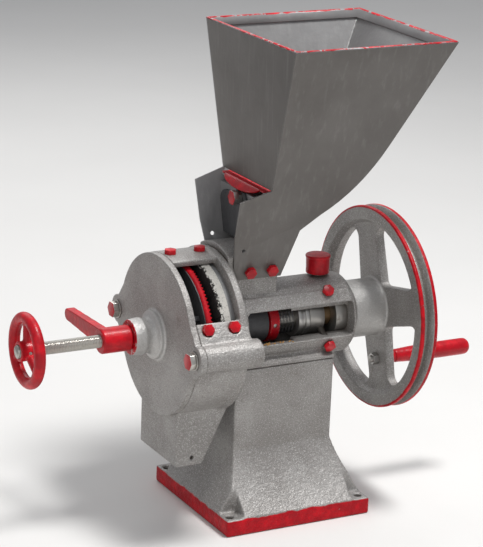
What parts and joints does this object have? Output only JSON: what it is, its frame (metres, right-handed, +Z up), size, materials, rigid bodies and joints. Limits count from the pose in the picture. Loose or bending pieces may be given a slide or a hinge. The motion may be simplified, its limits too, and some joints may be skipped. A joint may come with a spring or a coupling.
{
  "type": "hand grain mill",
  "caption": "Pedestal grain and pulse mill with vertical stones, sheet hopper with feed gate, cast housing, adjusting screw with handwheel, and a belt pulley turned by a crank grip.",
  "frame": {"origin": "centre of the foot's underside, midway between the four foot bolt holes", "axes": "+X along the shaft towards the pulley, +Z up, -Y towards the side with the inspection window"},
  "size_m": [0.6123, 0.254, 0.588],
  "materials": {
    "silver_paint": "rough aluminium paint",
    "red_paint": "worn gloss",
    "dark_iron": "dull",
    "steel": "worn",
    "bronze": "oily",
    "stone_pale": "gritty stone",
    "stone_dark": "gritty stone"
  },
  "bodies": {
    "frame": {"pedestal": "silver_paint", "pedestal_bolts": "steel", "bearing_housing": "silver_paint", "drum_casing": "silver_paint", "end_cover": "silver_paint", "cover_bolts": "red_paint", "cover_washers": "steel", "window_screws": "red_paint", "fixed_stone": "stone_pale", "stone_screws": "steel", "front_bearing": "dark_iron", "front_bush": "bronze", "thrust_bearing": "steel", "thrust_sleeve": "steel", "set_screws": "red_paint", "rear_bearing": "steel", "rear_bush": "bronze", "pressure_spring": "dark_iron", "hopper_front": "silver_paint", "hopper_back": "silver_paint", "hopper_left": "silver_paint", "hopper_bottom": "silver_paint", "hopper_rim": "red_paint", "hopper_bolts": "red_paint", "gate_rails": "silver_paint", "feed_flap": "dark_iron", "flap_bar": "silver_paint", "flap_bolt": "red_paint", "flap_nut": "steel", "grease_cup_stem": "silver_paint"},
    "pusher": {"thrust_cup": "steel", "thrust_ball": "steel"},
    "screw": {"adjusting_spindle": "steel", "handwheel": "red_paint", "handwheel_pin": "steel"},
    "shaft": {"main_shaft": "steel", "feed_worm": "steel", "runner_disc": "dark_iron", "runner_stone": "stone_dark", "runner_ring": "red_paint", "runner_nut": "steel", "runner_pin": "steel", "spring_collar": "red_paint", "collar_pin": "steel", "pulley": "silver_paint", "pulley_key": "steel", "pulley_washer": "steel", "pulley_nut": "steel", "crank_pin": "steel", "crank_nut": "steel", "crank_ferrule": "red_paint"},
    "grip": {"crank_grip": "red_paint"},
    "lock": {"lock_lever": "red_paint"},
    "gate": {"feed_gate": "red_paint"},
    "grease_cap": {"grease_cup_cap": "red_paint"}
  },
  "joints": [
    {"name": "gap_slide", "type": "slide", "parent": "frame", "child": "pusher", "axis": [1, 0, 0], "range_m": [0, 0.0087], "deforming": ["pressure_spring"]},
    {"name": "main_spin", "type": "hinge", "parent": "pusher", "child": "shaft", "pos_m": [0, 0, 0.2328], "axis": [1, 0, 0], "continuous": true},
    {"name": "screw_turn", "type": "hinge", "parent": "pusher", "child": "screw", "pos_m": [-0.317, 0, 0.2328], "axis": [1, 0, 0], "range_deg": [0, 1570]},
    {"name": "lock_turn", "type": "hinge", "parent": "frame", "child": "lock", "pos_m": [-0.206, 0, 0.2328], "axis": [1, 0, 0], "range_deg": [-120, 0]},
    {"name": "grip_spin", "type": "hinge", "parent": "shaft", "child": "grip", "pos_m": [0.22, -0.01653, 0.1689], "axis": [1, 0, 0], "continuous": true},
    {"name": "gate_slide", "type": "slide", "parent": "frame", "child": "gate", "axis": [-1, 0, 0], "range_m": [0, 0.06]},
    {"name": "cap_turn", "type": "hinge", "parent": "frame", "child": "grease_cap", "pos_m": [0.066, 0, 0.295], "axis": [0, 0, 1], "range_deg": [0, 1080]}
  ],
  "couplings": [
    {"joint": "screw_turn", "follows": "gap_slide", "rad_per_m": 3141.6}
  ]
}
